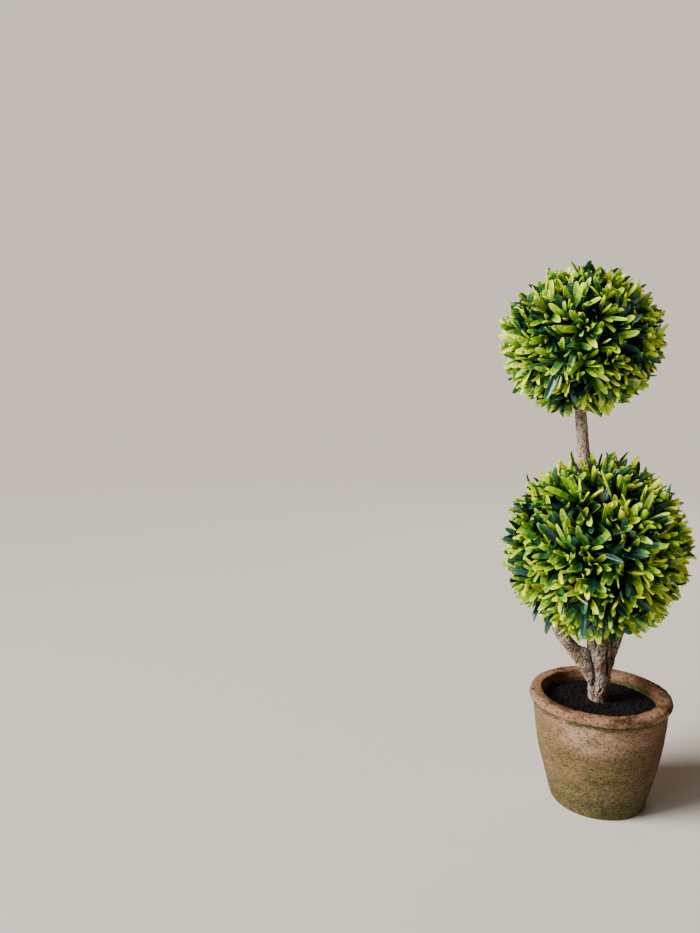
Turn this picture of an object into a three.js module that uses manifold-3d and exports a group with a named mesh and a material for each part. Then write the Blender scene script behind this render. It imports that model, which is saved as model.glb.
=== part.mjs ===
// Artificial box topiary: two clipped balls of plastic leaves, one above the other, on a branched
// natural stem in a round clay pot. Millimetres, +Z up, +Y away from the front view.
// The origin is the centre of the flat underside of the pot.
import * as THREE from 'three';
import { mergeVertices } from 'three/addons/utils/BufferGeometryUtils.js';
import Module from 'manifold-3d';

const wasm = await Module();
wasm.setup();

// Clearance that touching solids keep, and how close two points are the same
const GAP = 0.3;
const TOLERANCE = 0.01;
const MERGE_DISTANCE = 1e-4;

// Pot
const POT_HEIGHT = 93.5;
const POT_FOOT_RADIUS = 38.6;
const POT_FOOT_EDGE = 1;
const POT_WAIST_RADIUS = 54.4;
const POT_WAIST_HEIGHT = 83.5;
const POT_BELLY = 2.6;
const POT_GROOVE_HEIGHT = 86.4;
const POT_RIM_RADIUS = 57.5;
const POT_RIM_ROUND = 4.6;
const POT_MOUTH_RADIUS = 47.2;
const POT_MOUTH_ROUND = 1.6;
const POT_BORE_TOP = 87.5;
const POT_BORE_CURVE = 0.8;
const POT_FLOOR = 9;
const POT_FLOOR_RADIUS = 31;
const POT_SIDES = 48;
const POT_WALL_STEPS = 6;
const POT_RIM_STEPS = 5;
const POT_MOUTH_STEPS = 2;
const POT_BORE_STEPS = 4;

// Filling, with its soil surface below the rim
const SOIL_HEIGHT = 84;
const SOIL_CROWN = 1.2;
const SOIL_LUMP = 0.5;
const SOIL_WAVES = [{ around: 3, outward: 9 }, { around: 5, outward: -7 }];
const SOIL_FLAT_SHARE = 0.3;
const SOIL_SIDE_STEPS = 4;
const SOIL_RING_SHARES = [0.75, 0.5, 0.25];

// Limbs: the stations of each, as x, y, z and radius. The trunk stands on the soil and ends inside
// the upper ball. The boughs leave it at the fork and end in sockets of the lower ball's core.
const TREE_DEPTH = 4.5;
const TRUNK_STATIONS = [
  [0.1, TREE_DEPTH, SOIL_HEIGHT + GAP, 6.8],
  [0.4, TREE_DEPTH, 93, 7.9],
  [0.5, TREE_DEPTH, 104, 8.5],
  [0.2, TREE_DEPTH, 116, 8.9],
  [-0.2, TREE_DEPTH, 128, 9.1],
  [-0.3, TREE_DEPTH, 140, 8.6],
  [-2, TREE_DEPTH, 165, 7],
  [-8.6, TREE_DEPTH, 215, 5.6],
  [-14.2, TREE_DEPTH, 262, 4.9],
  [-15.8, TREE_DEPTH, 292, 4.6],
  [-17.8, TREE_DEPTH, 312, 4.3],
  [-19.2, TREE_DEPTH, 328, 3.9],
  [-20, TREE_DEPTH, 348, 3.6],
  [-20.4, TREE_DEPTH, 362, 3.2],
];
const LEFT_BOUGH_STATIONS = [
  [-1, 3.8, 95, 4.6],
  [-6.8, 3.2, 107, 5.4],
  [-15.2, 2.2, 121, 6.5],
  [-25.8, 2.6, 134, 5],
  [-34, 3, 146, 4.6],
  [-37.6, 3, 160, 4.4],
  [-37, 3, 178, 3.8],
];
const RIGHT_BOUGH_STATIONS = [
  [3, 7, 100, 4.8],
  [9, 9, 112, 4.6],
  [12.8, 10.2, 124, 4.6],
  [17, 11.8, 136, 4.9],
  [22, 13.5, 150, 4.7],
  [26, 15, 166, 4.3],
  [28, 16, 182, 3.8],
];
const TRUNK_MESH = { sides: 12, rings: 34, level: true };
const BOUGH_MESH = { sides: 10, rings: 13, level: false };
const LIMB_SAMPLES = 80;
const BARK_WAVES = [
  { height: 0.05, around: 2, along: 11 },
  { height: 0.04, around: 3, along: -17 },
];

// Balls: centre, reach of the leaf tips, and how much of the reach the core fills
const LOWER_CENTRE = new THREE.Vector3(-4.2, TREE_DEPTH + 1, 215.5);
const LOWER_REACH = new THREE.Vector3(77, 77, 81.5);
const UPPER_CENTRE = new THREE.Vector3(-20.3, TREE_DEPTH + 1, 385.5);
const UPPER_REACH = new THREE.Vector3(66.5, 66.5, 62.3);
const CORE_SHARE = 0.76;
const CORE_DETAIL = 3;

// Sprigs on each ball, and the leaves of a sprig
const LOWER_SPRIGS = 60;
const UPPER_SPRIGS = 46;
const SPRIG_LEAVES = 5;
const SPRIG_JITTER = 0.18;
const TWIG_RADIUS = 3.4;
const TWIG_TAPER = 0.7;
const TWIG_START = 0.52;
const TWIG_END = 0.79;
const LOWEST_LEAF = 0.73;
const LEAF_WIDTH = 12;
const LEAF_THICKNESS = 1.6;
const LEAF_SHORTEST = 11;
const LEAF_LONGEST = 36;
const LEAF_SUNK = 1.5;
const LEAF_SPREAD = [0.15, 1.15];
const SPREAD_JITTER = 0.3;
const TIP_DEPTH = [0.93, 1];
const LIMB_CLEARANCE = 1.2;
const LEAF_CLEARANCE = 5;
const LEAF_OUTER_PARTS = [0.4, 0.55, 0.7, 0.85, 1];
const LEAF_TRIES = 4;
const LOWER_SEED = 11;
const UPPER_SEED = 23;

const GOLDEN_ANGLE = Math.PI * (3 - Math.sqrt(5));
const UP = new THREE.Vector3(0, 0, 1);

const CLAY = new THREE.MeshStandardMaterial({ color: 0xb08a6c, roughness: 0.85 });
const SOIL = new THREE.MeshStandardMaterial({ color: 0x17120e, roughness: 0.95 });
const BARK = new THREE.MeshStandardMaterial({ color: 0x7d6a5b, roughness: 0.9 });
const LEAVES = new THREE.MeshStandardMaterial({ color: 0x5f8a2c, roughness: 0.45 });

// Seeded random numbers from 0 to 1, the same on every run
function seededRandom(seed) {
  let state = seed;
  return () => {
    state = (state + 0x6d2b79f5) | 0;
    let mixed = Math.imul(state ^ (state >>> 15), 1 | state);
    mixed = (mixed + Math.imul(mixed ^ (mixed >>> 7), 61 | mixed)) ^ mixed;
    return ((mixed ^ (mixed >>> 14)) >>> 0) / 4294967296;
  };
}

const between = (low, high, share) => low + (high - low) * share;

// Equal steps from 0 to 1
const steps = (count) => Array.from({ length: count + 1 }, (_, i) => i / count);

// A closed mesh as a solid that can be joined and cut
function toSolid(geometry) {
  const bare = geometry.clone();
  bare.deleteAttribute('normal');
  bare.deleteAttribute('uv');
  const merged = mergeVertices(bare, MERGE_DISTANCE);
  const vertProperties = Float32Array.from(merged.getAttribute('position').array);
  const triVerts = Uint32Array.from(merged.getIndex().array);
  return new wasm.Manifold(new wasm.Mesh({ numProp: 3, vertProperties, triVerts }));
}

function toGeometry(solid) {
  const mesh = solid.getMesh();
  const geometry = new THREE.BufferGeometry();
  geometry.setAttribute('position', new THREE.Float32BufferAttribute(Array.from(mesh.vertProperties), 3));
  geometry.setIndex(Array.from(mesh.triVerts));
  geometry.computeVertexNormals();
  return geometry;
}

// The largest of the bodies that a cut leaves, so that no loose scrap stays
function largestBody(solid) {
  const bodies = solid.decompose();
  return bodies.reduce((best, body) => (body.volume() > best.volume() ? body : best));
}

function namedMesh(name, geometry, material) {
  const mesh = new THREE.Mesh(geometry, material);
  mesh.name = name;
  return mesh;
}

// A profile of [radius, height] points turned round the pot's axis
function turned(profile, sides) {
  const geometry = new THREE.LatheGeometry(profile.map(([r, z]) => new THREE.Vector2(r, z)), sides);
  geometry.rotateX(Math.PI / 2);
  return geometry;
}

// Radius of the pot's outside below the groove: a straight taper with a slight belly
function potWallRadius(z) {
  const share = z / POT_WAIST_HEIGHT;
  const belly = POT_BELLY * Math.sin(Math.PI * Math.min(share, 1));
  return between(POT_FOOT_RADIUS, POT_WAIST_RADIUS, share) + belly;
}

// Radius of the pot's inside at a height between its floor and its mouth
function potBoreRadius(z) {
  const share = (z - POT_FLOOR) / (POT_HEIGHT - POT_FLOOR);
  return between(POT_FLOOR_RADIUS, POT_MOUTH_RADIUS, Math.pow(share, POT_BORE_CURVE));
}

// Points round part of an ellipse, between two angles in degrees, for the rounded corners of the rim
function roundCorner([radius, height], [wide, tall], degrees, count) {
  const [from, to] = degrees.map(THREE.MathUtils.degToRad);
  const curve = new THREE.EllipseCurve(radius, height, wide, tall, from, to);
  return curve.getPoints(count).map(({ x, y }) => [x, y]);
}

function makePot() {
  const wall = steps(POT_WALL_STEPS).map((share) => {
    const z = between(POT_FOOT_EDGE, POT_GROOVE_HEIGHT, share);
    return [potWallRadius(z), z];
  });
  const rimMiddle = between(POT_GROOVE_HEIGHT, POT_HEIGHT, 0.5);
  const rimTall = POT_HEIGHT - rimMiddle;
  const outer = POT_RIM_RADIUS - POT_RIM_ROUND;
  const inner = POT_MOUTH_RADIUS + POT_MOUTH_ROUND;
  const mouthHeight = POT_HEIGHT - POT_MOUTH_ROUND;
  const rim = [
    ...roundCorner([outer, rimMiddle], [POT_RIM_ROUND, rimTall], [-60, 90], POT_RIM_STEPS),
    ...roundCorner([inner, mouthHeight], [POT_MOUTH_ROUND, POT_MOUTH_ROUND], [90, 180], POT_MOUTH_STEPS),
  ];
  const bore = steps(POT_BORE_STEPS).map((share) => {
    const z = between(POT_BORE_TOP, POT_FLOOR, share);
    return [potBoreRadius(z), z];
  });
  const foot = [[0, 0], [POT_FOOT_RADIUS - POT_FOOT_EDGE, 0]];
  return turned([...foot, ...wall, ...rim, ...bore, [0, POT_FLOOR]], POT_SIDES);
}

// Height of the soil: crowned towards the trunk, with low lumps, and flat round the trunk's foot
function soilHeight(r, angle) {
  const share = r / potBoreRadius(SOIL_HEIGHT);
  if (share < SOIL_FLAT_SHARE) return SOIL_HEIGHT;
  const waves = SOIL_WAVES.map(({ around, outward }) => Math.sin(around * angle + outward * share));
  const lumps = SOIL_LUMP * (1 - share) * waves.reduce((sum, wave) => sum + wave);
  return SOIL_HEIGHT - SOIL_CROWN * (share - SOIL_FLAT_SHARE) + lumps;
}

function makeSoil() {
  const top = SOIL_HEIGHT - SOIL_CROWN;
  const side = steps(SOIL_SIDE_STEPS).map((share) => {
    const z = between(POT_FLOOR + GAP, top, share);
    return [potBoreRadius(z) - GAP, z];
  });
  const edge = side.at(-1)[0];
  const rings = SOIL_RING_SHARES.map((share) => [edge * share, top]);
  const geometry = turned([[0, POT_FLOOR + GAP], ...side, ...rings, [0, top]], POT_SIDES);
  const position = geometry.getAttribute('position');
  for (let i = 0; i < position.count; i += 1) {
    const r = Math.hypot(position.getX(i), position.getY(i));
    const angle = Math.atan2(position.getY(i), position.getX(i));
    const onTop = position.getZ(i) > top - TOLERANCE && r < edge - TOLERANCE;
    if (onTop) position.setZ(i, soilHeight(r, angle));
  }
  return geometry;
}

// A limb: a cylinder bent along a smooth curve through its stations, with the radius of each station
class Limb {
  constructor(stations, mesh) {
    this.curve = new THREE.CatmullRomCurve3(stations.map(([x, y, z]) => new THREE.Vector3(x, y, z)));
    this.radii = stations.map((station) => station[3]);
    this.mesh = mesh;
    this.samples = steps(LIMB_SAMPLES).map((t) => {
      return { point: this.curve.getPoint(t), radius: this.radiusAt(t) };
    });
  }

  radiusAt(t) {
    const place = t * (this.radii.length - 1);
    const index = Math.min(Math.floor(place), this.radii.length - 2);
    return between(this.radii[index], this.radii[index + 1], place - index);
  }

  // Share of the radius that the bark's long lumps add
  lumps(angle, t) {
    return BARK_WAVES.reduce((sum, { height, around, along }) => {
      return sum + height * Math.sin(around * angle + along * t);
    }, 0);
  }

  // Each ring lies across the curve, or level on a limb that is cut off level.
  // A limb that is grown by a clearance also runs on past its tip by that clearance.
  geometry(grow = 0) {
    const geometry = new THREE.CylinderGeometry(1, 1, 1, this.mesh.sides, this.mesh.rings);
    geometry.rotateX(Math.PI / 2);
    const position = geometry.getAttribute('position');
    const turn = new THREE.Quaternion();
    for (let i = 0; i < position.count; i += 1) {
      const offset = new THREE.Vector3().fromBufferAttribute(position, i);
      const t = THREE.MathUtils.clamp(offset.z + 0.5, 0, 1);
      const along = this.curve.getTangent(t);
      const angle = Math.atan2(offset.y, offset.x);
      offset.z = 0;
      offset.multiplyScalar(this.radiusAt(t) * (1 + this.lumps(angle, t)) + grow);
      if (!this.mesh.level) offset.applyQuaternion(turn.setFromUnitVectors(UP, along));
      offset.add(this.curve.getPoint(t));
      if (t === 1) offset.addScaledVector(along, grow);
      position.setXYZ(i, offset.x, offset.y, offset.z);
    }
    return geometry;
  }

  // Whether a straight run between two points, with a margin round it, touches the limb
  touches(start, end, margin) {
    const run = new THREE.Line3(start, end);
    const nearest = new THREE.Vector3();
    return this.samples.some(({ point, radius }) => {
      run.closestPointToPoint(point, true, nearest);
      return nearest.distanceTo(point) < radius + margin;
    });
  }
}

// One leaf: a thin eight-faced blade from its root to its tip, with its flat side towards a direction
function makeLeaf(root, tip, facing) {
  const along = tip.clone().sub(root).normalize();
  const across = new THREE.Vector3().crossVectors(facing, along).normalize();
  const upward = new THREE.Vector3().crossVectors(along, across);
  const geometry = new THREE.OctahedronGeometry(1);
  geometry.scale(root.distanceTo(tip) / 2, LEAF_WIDTH / 2, LEAF_THICKNESS / 2);
  geometry.applyMatrix4(new THREE.Matrix4().makeBasis(along, across, upward));
  const middle = root.clone().lerp(tip, 0.5);
  geometry.translate(middle.x, middle.y, middle.z);
  return toSolid(geometry);
}

// One three-sided twig, tapered towards its end
function makeTwig(start, end) {
  const length = start.distanceTo(end);
  const geometry = new THREE.CylinderGeometry(TWIG_RADIUS * TWIG_TAPER, TWIG_RADIUS, length, 3);
  geometry.rotateX(Math.PI / 2);
  const along = end.clone().sub(start).normalize();
  geometry.applyQuaternion(new THREE.Quaternion().setFromUnitVectors(UP, along));
  const middle = start.clone().lerp(end, 0.5);
  geometry.translate(middle.x, middle.y, middle.z);
  return toSolid(geometry);
}

// How far a leaf runs from its root before its tip is at the given share of a ball's reach
function lengthToReach(root, direction, { centre, reach }, share) {
  const start = root.clone().sub(centre).divide(reach);
  const step = direction.clone().divide(reach);
  const a = step.dot(step);
  const b = start.dot(step);
  const c = start.dot(start) - share * share;
  return Math.min((-b + Math.sqrt(b * b - a * c)) / a, LEAF_LONGEST);
}

// The direction of a sprig: evenly spread over the ball in a golden spiral, then moved a little
function sprigDirection(index, count, random) {
  const z = 1 - (2 * index) / (count - 1);
  const ring = Math.sqrt(1 - z * z);
  const angle = index * GOLDEN_ANGLE;
  const jitter = new THREE.Vector3(random() - 0.5, random() - 0.5, random() - 0.5);
  const aim = new THREE.Vector3(ring * Math.cos(angle), ring * Math.sin(angle), z);
  return aim.addScaledVector(jitter, SPRIG_JITTER).normalize();
}

// The root and tip of one leaf of a sprig: the lower it grows on the twig, the wider it spreads
function placeLeaf(share, turn, aim, side, ball, random) {
  const jitter = SPREAD_JITTER * (random() - 0.5);
  const spread = between(LEAF_SPREAD[0], LEAF_SPREAD[1], share) + jitter;
  const direction = aim.clone().multiplyScalar(Math.cos(spread));
  direction.addScaledVector(side.clone().applyAxisAngle(aim, turn), Math.sin(spread));
  const root = ball.place(aim, between(TWIG_END, LOWEST_LEAF, share));
  const depth = between(TIP_DEPTH[0], TIP_DEPTH[1], random());
  const length = lengthToReach(root, direction, ball, depth);
  const tip = root.clone().addScaledVector(direction, length);
  const outer = LEAF_OUTER_PARTS.map((part) => root.clone().lerp(tip, part));
  root.addScaledVector(direction, -LEAF_SUNK);
  return { root, tip, length, outer };
}

// A clipped ball: a core cut clear of the limbs, with sprigs spread over it by a seeded rule.
// A leaf ends inside the ball's reach, and is skipped where it would touch a limb or another leaf.
function makeBall(centre, reach, sprigs, limbs, seed) {
  const random = seededRandom(seed);
  const place = (aim, share) => aim.clone().multiply(reach).multiplyScalar(share).add(centre);
  const ball = { centre, reach, place };
  const coreGeometry = new THREE.IcosahedronGeometry(CORE_SHARE, CORE_DETAIL);
  coreGeometry.scale(reach.x, reach.y, reach.z);
  coreGeometry.translate(centre.x, centre.y, centre.z);
  let solid = toSolid(coreGeometry);
  for (const limb of limbs) solid = solid.subtract(toSolid(limb.geometry(GAP)));

  const clear = (start, end, width) =>
    !limbs.some((limb) => limb.touches(start, end, width + LIMB_CLEARANCE));
  const taken = [];
  const crosses = (points) =>
    points.some((point) => taken.some((other) => other.distanceTo(point) < LEAF_CLEARANCE));

  for (let i = 0; i < sprigs; i += 1) {
    const aim = sprigDirection(i, sprigs, random);
    const phase = random() * 2 * Math.PI;
    const side = new THREE.Vector3(-aim.y, aim.x, 0).normalize();
    const start = place(aim, TWIG_START);
    const end = place(aim, TWIG_END);
    if (!clear(start, end, TWIG_RADIUS)) continue;
    solid = solid.add(makeTwig(start, end));
    for (let k = 0; k < SPRIG_LEAVES; k += 1) {
      for (let attempt = 0; attempt < LEAF_TRIES; attempt += 1) {
        const turn = phase + k * GOLDEN_ANGLE + attempt * random();
        const leaf = placeLeaf(k / (SPRIG_LEAVES - 1), turn, aim, side, ball, random);
        const fits = leaf.length > LEAF_SHORTEST && clear(leaf.root, leaf.tip, LEAF_WIDTH / 2);
        if (fits && !crosses(leaf.outer)) {
          solid = solid.add(makeLeaf(leaf.root, leaf.tip, aim));
          taken.push(...leaf.outer);
          break;
        }
      }
    }
  }
  return largestBody(solid);
}

const trunk = new Limb(TRUNK_STATIONS, TRUNK_MESH);
const leftBough = new Limb(LEFT_BOUGH_STATIONS, BOUGH_MESH);
const rightBough = new Limb(RIGHT_BOUGH_STATIONS, BOUGH_MESH);
const trunkSeat = toSolid(trunk.geometry(GAP));
const cutFromTrunk = (bough) => largestBody(toSolid(bough.geometry()).subtract(trunkSeat));
const lowerLimbs = [trunk, leftBough, rightBough];
const lowerBall = makeBall(LOWER_CENTRE, LOWER_REACH, LOWER_SPRIGS, lowerLimbs, LOWER_SEED);
const upperBall = makeBall(UPPER_CENTRE, UPPER_REACH, UPPER_SPRIGS, [trunk], UPPER_SEED);

const topiary = new THREE.Group();
topiary.add(namedMesh('pot', makePot(), CLAY));
topiary.add(namedMesh('soil', makeSoil(), SOIL));
topiary.add(namedMesh('trunk', trunk.geometry(), BARK));
topiary.add(namedMesh('bough_left', toGeometry(cutFromTrunk(leftBough)), BARK));
topiary.add(namedMesh('bough_right', toGeometry(cutFromTrunk(rightBough)), BARK));
topiary.add(namedMesh('lower_ball', toGeometry(lowerBall), LEAVES));
topiary.add(namedMesh('upper_ball', toGeometry(upperBall), LEAVES));

export default topiary;
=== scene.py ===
"""The looks of an artificial double ball topiary in a round clay pot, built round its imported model.

Metres, +Z up. The camera stands in front of the pot, on the -Y side.
"""

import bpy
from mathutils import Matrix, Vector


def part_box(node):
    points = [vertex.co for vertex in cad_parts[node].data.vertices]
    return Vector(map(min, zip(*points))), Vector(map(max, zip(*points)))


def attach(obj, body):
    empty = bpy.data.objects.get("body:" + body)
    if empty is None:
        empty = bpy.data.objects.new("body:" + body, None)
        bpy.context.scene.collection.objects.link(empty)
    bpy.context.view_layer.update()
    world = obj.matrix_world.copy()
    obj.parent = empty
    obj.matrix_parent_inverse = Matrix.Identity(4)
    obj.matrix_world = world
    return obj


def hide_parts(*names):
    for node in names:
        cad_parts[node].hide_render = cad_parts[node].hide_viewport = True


bl_info = {
    "name": "Ball topiary",
    "version": (1, 0, 0),
    "blender": (4, 5, 0),
    "location": "View3D > Sidebar > Topiary",
    "description": "Builds a clipped double ball topiary of plastic leaves in an aged clay pot",
    "category": "Add Mesh",
}

import bpy
import numpy as np
from bpy.props import FloatProperty, FloatVectorProperty, IntProperty, PointerProperty
from mathutils import Matrix

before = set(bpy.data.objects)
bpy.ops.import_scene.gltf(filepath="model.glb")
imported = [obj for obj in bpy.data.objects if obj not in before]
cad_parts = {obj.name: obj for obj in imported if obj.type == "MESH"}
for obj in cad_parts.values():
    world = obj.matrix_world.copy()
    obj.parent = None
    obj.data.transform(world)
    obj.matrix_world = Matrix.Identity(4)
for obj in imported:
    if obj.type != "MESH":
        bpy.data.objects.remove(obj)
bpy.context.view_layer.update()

MM = 0.001
BODY = "root"
GOLDEN_ANGLE = np.pi * (3 - np.sqrt(5))

# Pot and soil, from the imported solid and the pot's own section
POT_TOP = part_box("pot")[1]
POT_HEIGHT = POT_TOP.z
RIM_RADIUS = POT_TOP.x
LIP_WIDTH = 4.6 * MM
EDGE_RADIUS = 1.6 * MM
GROOVE_HEIGHT = 86.4 * MM
WALL_TOP = 83.5 * MM
WAIST_RADIUS = 54.4 * MM
FOOT_RADIUS = 38.6 * MM
FOOT_CHAMFER = 0.8 * MM
BELLY = 2.6 * MM
MOUTH_RADIUS = 47.2 * MM
FLOOR_HEIGHT = 9 * MM
FLOOR_RADIUS = 31 * MM
BORE_POWER = 0.8
POT_COLUMNS = 470
SOIL_HEIGHT = 84 * MM
SOIL_LEVEL = SOIL_HEIGHT - 0.3 * MM
SOIL_DEPTH = 12 * MM
SOIL_COLUMNS = 260
CRUMB_COUNT = 900

# Limbs: the stations of each, as x, y, z and radius in millimetres
TREE_DEPTH = 4.5
TRUNK_STATIONS = [
    (0.1, TREE_DEPTH, 83.3, 6.7),
    (0.4, TREE_DEPTH, 93, 7.9),
    (0.5, TREE_DEPTH, 104, 8.5),
    (0.2, TREE_DEPTH, 116, 8.9),
    (-0.2, TREE_DEPTH, 128, 9.1),
    (-0.3, TREE_DEPTH, 140, 8.6),
    (-2, TREE_DEPTH, 165, 7),
    (-8.6, TREE_DEPTH, 215, 5.6),
    (-14.2, TREE_DEPTH, 262, 4.9),
    (-15.8, TREE_DEPTH, 292, 4.6),
    (-17.8, TREE_DEPTH, 312, 4.3),
    (-19.2, TREE_DEPTH, 328, 3.9),
    (-20, TREE_DEPTH, 348, 3.6),
    (-20.4, TREE_DEPTH, 362, 3.2),
]
LEFT_BOUGH_STATIONS = [
    (-1, 3.8, 95, 4.6),
    (-6.8, 3.2, 107, 5.4),
    (-15.2, 2.2, 121, 6.5),
    (-25.8, 2.6, 134, 5),
    (-34, 3, 146, 4.6),
    (-37.6, 3, 160, 4.4),
    (-37, 3, 178, 3.8),
]
RIGHT_BOUGH_STATIONS = [
    (3, 7, 100, 4.8),
    (9, 9, 112, 4.6),
    (12.8, 10.2, 124, 4.6),
    (17, 11.8, 136, 4.9),
    (22, 13.5, 150, 4.7),
    (26, 15, 166, 4.3),
    (28, 16, 182, 3.8),
]
# Rows of the trunk's grid: where along it each stretch ends, and how many rows it has. The second
# stretch is hidden in the lower ball and the last one in the upper ball.
TRUNK_STRETCHES = [(0.42, 250), (0.62, 30), (0.84, 130), (1, 24)]
TRUNK_COLUMNS = 180
BOUGH_ROWS = 240
BOUGH_COLUMNS = 110

# Open cracks down the front of the trunk: half the width of each, then degrees from the trunk's front
# and height of its points, in millimetres
TRUNK_CRACKS = [
    (2.4, [(58, 140), (46, 133), (38, 126), (42, 119), (50, 113), (53, 106)]),
    (1, [(4, 152), (-1, 144), (-14, 140), (-18, 137)]),
    (0.8, [(-33, 138), (-36, 133)]),
]
# Knobs on the left bough: x, y, z, height and reach of each in millimetres
LEFT_BOUGH_KNOBS = [(-11.5, 1.5, 129, 3.2, 7), (-27.5, -2.5, 139.5, 1.6, 3), (-31, 2, 151, 1.4, 5)]
# The dark line where two limbs meet, a groove with painted shade in it: half its width and its depth
SEAM_HALF_WIDTH = 1.4 * MM
SEAM_DEPTH = 2 * MM

# Balls: centre and reach of the leaf tips in millimetres, and the seed of the random draws
LOWER_BALL = {"centre": (-5, TREE_DEPTH + 1, 215.5), "reach": (78.5, 76.8, 81.5), "seed": 12}
UPPER_BALL = {"centre": (-20.3, TREE_DEPTH + 1, 385.5), "reach": (66.2, 66, 62.3), "seed": 23}
# Shares of a ball's reach: its foam core, and the foot and tip of a twig
CORE_SHARE = 0.6
TWIG_SHARES = (0.56, 0.7)
TWIG_RADIUS = 1.1 * MM

# Camera: where it stands in millimetres, its pitch and roll in degrees and its focal length
CAMERA_PLACE = (-208.4, -600.7, 358.0)
CAMERA_PITCH = -6.64
CAMERA_ROLL = -0.88
CAMERA_LENS = 28.55

# Key light: where it comes from, and how wide it looks from the object
KEY_PLACE = (-1.42, -0.3, 0.86)
KEY_ANGLE = np.radians(32)
KEY_COLOUR = "fdf6ec"
# Square lights that face the middle of the object: name, place, size, setting of the power, colour
LIGHT_TARGET = (-0.01, 0, 0.22)
SOFT_LIGHTS = [
    ("Window", (-1.1, -0.5, 0.6), 1.2, "window_power", "e0ebff"),
    ("Fill", (1.1, -0.5, 0.35), 0.8, "fill_power", "ffb070"),
    ("Back", (0.5, 1.1, 0.9), 0.8, "back_power", "fff2e0"),
]
STAGE_RADIUS = 4


def linear(code):
    """The linear colour of a hexadecimal sRGB code."""
    srgb = np.array([int(code[i:i + 2], 16) for i in (0, 2, 4)]) / 255
    low = srgb / 12.92
    high = ((srgb + 0.055) / 1.055) ** 2.4
    return tuple(np.where(srgb <= 0.04045, low, high))


def smooth(low, high, value):
    """0 below low, 1 above high, and the cubic 3t^2 - 2t^3 between them."""
    t = np.clip((value - low) / (high - low), 0, 1)
    return t * t * (3 - 2 * t)


def mix(first, second, share):
    """The straight mixture of two values."""
    return first + (second - first) * share


def unit(vectors):
    """Each vector divided by its length."""
    return vectors / np.linalg.norm(vectors, axis=-1, keepdims=True)


def full_turn(count):
    """Angles of so many points spread evenly round a circle."""
    return np.linspace(0, 2 * np.pi, count, endpoint=False)


def round_axis(radius, angle, height):
    """Points at a radius, an angle and a height round the Z axis."""
    return np.stack([radius * np.cos(angle), radius * np.sin(angle), height + 0 * angle], axis=-1)


def square_to(axis):
    """Two unit vectors square to each axis and to each other. The first is level, unless the axis is
    nearly upright."""
    pole = np.where(np.abs(axis[:, 2:]) < 0.9, (0.0, 0.0, 1.0), (1.0, 0.0, 0.0))
    side = unit(np.cross(axis, pole))
    return side, np.cross(axis, side)


# Noise

def lattice_hash(cells, seed):
    """A number from 0 to 1 for each whole-number cell: its coordinates are multiplied by large odd
    numbers and added, and the bits are then mixed by shifts and two more products."""
    x, y, z = (cells[..., axis].astype(np.uint32) for axis in range(3))
    mixed = x * np.uint32(0x8DA6B343) + y * np.uint32(0xD8163841) + z * np.uint32(0xCB1AB31F)
    mixed = mixed + np.uint32((seed * 0x9E3779B1) & 0xFFFFFFFF)
    mixed ^= mixed >> np.uint32(13)
    mixed *= np.uint32(0x5BD1E995)
    mixed ^= mixed >> np.uint32(15)
    mixed *= np.uint32(0x27D4EB2F)
    mixed ^= mixed >> np.uint32(16)
    return (mixed & np.uint32(0xFFFFFF)) / 0xFFFFFF


def cloud(points, size, seed):
    """Smooth noise from -1 to 1: the hashes of the eight lattice corners round each point, blended
    along each axis by the cubic 3t^2 - 2t^3."""
    scaled = points / size
    base = np.floor(scaled)
    t = scaled - base
    t = t * t * (3 - 2 * t)
    base = base.astype(np.int64)
    total = 0.0
    for corner in np.ndindex(2, 2, 2):
        weight = np.prod(np.where(np.array(corner) == 1, t, 1 - t), axis=-1)
        total = total + weight * lattice_hash(base + np.array(corner), seed)
    return 2 * total - 1


def rough(points, size, octaves, seed):
    """Clouds of halving size and weight added up."""
    return sum(cloud(points, size / 2**i, seed + i) / 2**i for i in range(octaves))


def scattered(points, size, share, radius, seed):
    """Round spots from 0 to 1: each lattice cell holds one centre at a hashed place, kept for the
    given share of the cells, and a spot falls off from its centre as (1 - (d/r)^2)^2."""
    base = np.floor(points / size).astype(np.int64)
    best = np.zeros(points.shape[:-1])
    for step in np.ndindex(3, 3, 3):
        cell = base + np.array(step) - 1
        jitter = np.stack([lattice_hash(cell, seed + axis) for axis in range(3)], axis=-1)
        kept = lattice_hash(cell, seed + 3) < share
        reach = radius * (0.5 + lattice_hash(cell, seed + 4))
        distance = np.linalg.norm(points - (cell + jitter) * size, axis=-1)
        spot = np.clip(1 - (distance / reach) ** 2, 0, 1) ** 2
        best = np.maximum(best, np.where(kept, spot, 0))
    return best


# Meshes

def new_piece(name, vertices, faces, materials, band=None, replaces=()):
    """A smooth mesh object from a vertex array and a list of face arrays of equal-sided faces."""
    mesh = bpy.data.meshes.new(name)
    vertices = np.asarray(vertices, np.float32).reshape(-1, 3)
    sides = np.concatenate([np.full(len(part), part.shape[1], np.int32) for part in faces])
    corners = np.concatenate([part.ravel() for part in faces]).astype(np.int32)
    mesh.vertices.add(len(vertices))
    mesh.vertices.foreach_set("co", vertices.ravel())
    mesh.loops.add(len(corners))
    mesh.loops.foreach_set("vertex_index", corners)
    mesh.polygons.add(len(sides))
    starts = np.concatenate([[0], np.cumsum(sides)[:-1]]).astype(np.int32)
    mesh.polygons.foreach_set("loop_start", starts)
    mesh.polygons.foreach_set("loop_total", sides)
    mesh.polygons.foreach_set("use_smooth", np.ones(len(sides), bool))
    for material in materials:
        mesh.materials.append(material)
    if band is not None:
        mesh.polygons.foreach_set("material_index", np.asarray(band, np.int32))
    mesh.update(calc_edges=True)
    mesh.validate()
    piece = bpy.data.objects.new(name, mesh)
    bpy.context.scene.collection.objects.link(piece)
    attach(piece, BODY)
    if replaces:
        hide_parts(*replaces)
    return piece


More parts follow.
